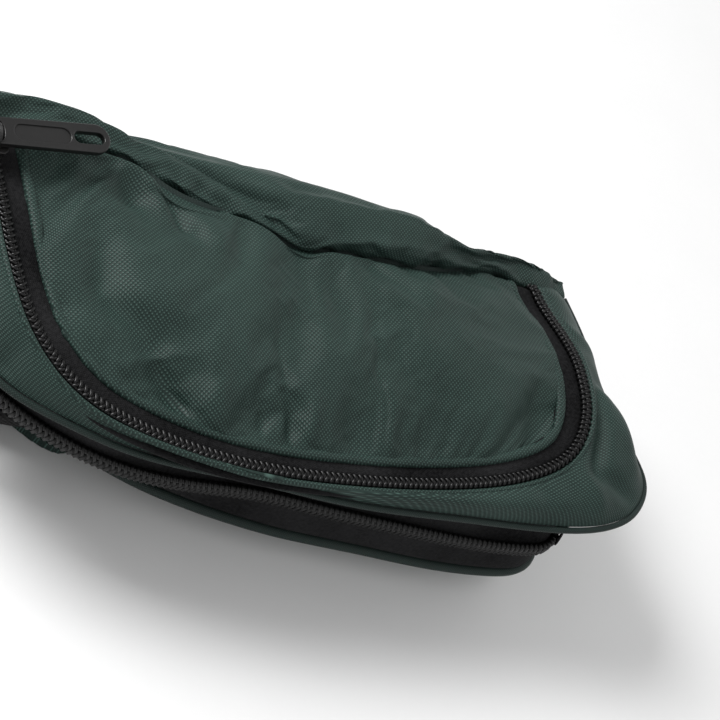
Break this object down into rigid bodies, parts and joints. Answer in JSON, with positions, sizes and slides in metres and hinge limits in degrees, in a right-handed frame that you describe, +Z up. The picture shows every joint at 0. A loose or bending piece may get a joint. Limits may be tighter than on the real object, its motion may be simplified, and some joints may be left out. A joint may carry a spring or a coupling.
{
  "type": "waist pack",
  "caption": "Soft waist pack with a zipped main compartment, a U-zip front pocket, a rolled bottom gusset and a folded belt with a side-release buckle.",
  "frame": {"origin": "under the middle of the pack, on the surface that it lies on", "axes": "+Z up, out of the pack's front face; +X along the belt; -Y towards the main zip (the top when worn), +Y towards the rolled bottom gusset"},
  "size_m": [0.2224, 0.1072, 0.071],
  "materials": {
    "green_fabric": "woven nylon, soft sheen",
    "green_trim": "piping",
    "lining": "matt lining",
    "foam": "closed-cell foam",
    "zip_tape": "woven, velvety",
    "webbing": "flat webbing",
    "zip_coil": "nylon coil",
    "buckle_plastic": "moulded",
    "black_metal": "black enamel"
  },
  "bodies": {
    "pack_back": {"back_panel": "green_fabric", "back_foam": "foam", "back_piping": "green_trim", "main_tape_back": "zip_tape", "main_coil_back": "zip_coil"},
    "pack_front": {"main_tape_front": "zip_tape", "main_coil_front": "zip_coil", "main_end_stop": "green_fabric", "side_gusset_left": "green_fabric", "side_gusset_right": "green_fabric", "bottom_gusset": "green_fabric", "pocket_tape_outer": "zip_tape", "pocket_coil_outer": "zip_coil", "front_border": "green_fabric", "front_piping": "green_trim", "pocket_divider": "lining", "pocket_end_stop": "green_fabric"},
    "pocket_flap": {"pocket_flap": "green_fabric", "pocket_tape_inner": "zip_tape", "pocket_coil_inner": "zip_coil"},
    "pocket_slider": {"pocket_slider": "black_metal"},
    "pocket_puller": {"pocket_puller": "black_metal"},
    "main_slider": {"main_slider": "black_metal"},
    "main_puller": {"main_puller": "black_metal"},
    "wing_left": {"wing_left": "green_fabric", "webbing_left": "webbing", "keeper_left": "webbing", "buckle_male": "buckle_plastic"},
    "wing_right": {"wing_right": "green_fabric", "webbing_right": "webbing", "keeper_right": "webbing", "buckle_female": "buckle_plastic"},
    "prong_near": {"prong_near": "buckle_plastic"},
    "prong_far": {"prong_far": "buckle_plastic"}
  },
  "joints": [
    {"name": "mouth_open", "type": "hinge", "parent": "pack_back", "child": "pack_front", "pos_m": [0, 0.0502, 0.0158], "axis": [-1, 0, 0], "range_deg": [0, 20]},
    {"name": "flap_open", "type": "hinge", "parent": "pack_front", "child": "pocket_flap", "pos_m": [0, 0.0328, 0.0637], "axis": [-1, 0, 0], "range_deg": [0, 75]},
    {"name": "pocket_slide", "type": "slide", "parent": "pack_front", "child": "pocket_slider", "axis": [0, -0.9806, -0.1961], "range_m": [0, 0.042]},
    {"name": "pocket_puller_swing", "type": "hinge", "parent": "pocket_slider", "child": "pocket_puller", "pos_m": [-0.094, 0.03622, 0.06846], "axis": [0, -0.9806, -0.1961], "range_deg": [0, 165]},
    {"name": "main_slide", "type": "hinge", "parent": "pack_back", "child": "main_slider", "pos_m": [-0.0344, 0.0362, 0.031], "axis": [0, 0, 1], "range_deg": [0, 45]},
    {"name": "main_puller_swing", "type": "hinge", "parent": "main_slider", "child": "main_puller", "pos_m": [-0.09774, -0.01509, 0.031], "axis": [-0.6293, 0.7771, 0], "range_deg": [0, 110]},
    {"name": "wing_left_fold", "type": "hinge", "parent": "pack_back", "child": "wing_left", "pos_m": [-0.103, 0, 0.008], "axis": [0, 1, 0], "range_deg": [0, 175]},
    {"name": "wing_right_fold", "type": "hinge", "parent": "pack_back", "child": "wing_right", "pos_m": [0.103, 0, 0.008], "axis": [0, -1, 0], "range_deg": [0, 175]},
    {"name": "prong_near_flex", "type": "hinge", "parent": "wing_left", "child": "prong_near", "pos_m": [-0.0287, -0.009, 0.0045], "axis": [0, 0, 1], "range_deg": [0, 8], "stiffness_Nm_per_rad": 0.05},
    {"name": "prong_far_flex", "type": "hinge", "parent": "wing_left", "child": "prong_far", "pos_m": [-0.0287, 0.009, 0.0045], "axis": [0, 0, -1], "range_deg": [0, 8], "stiffness_Nm_per_rad": 0.05}
  ],
  "couplings": [
    {"joint": "prong_far_flex", "follows": "prong_near_flex", "ratio": 1}
  ]
}
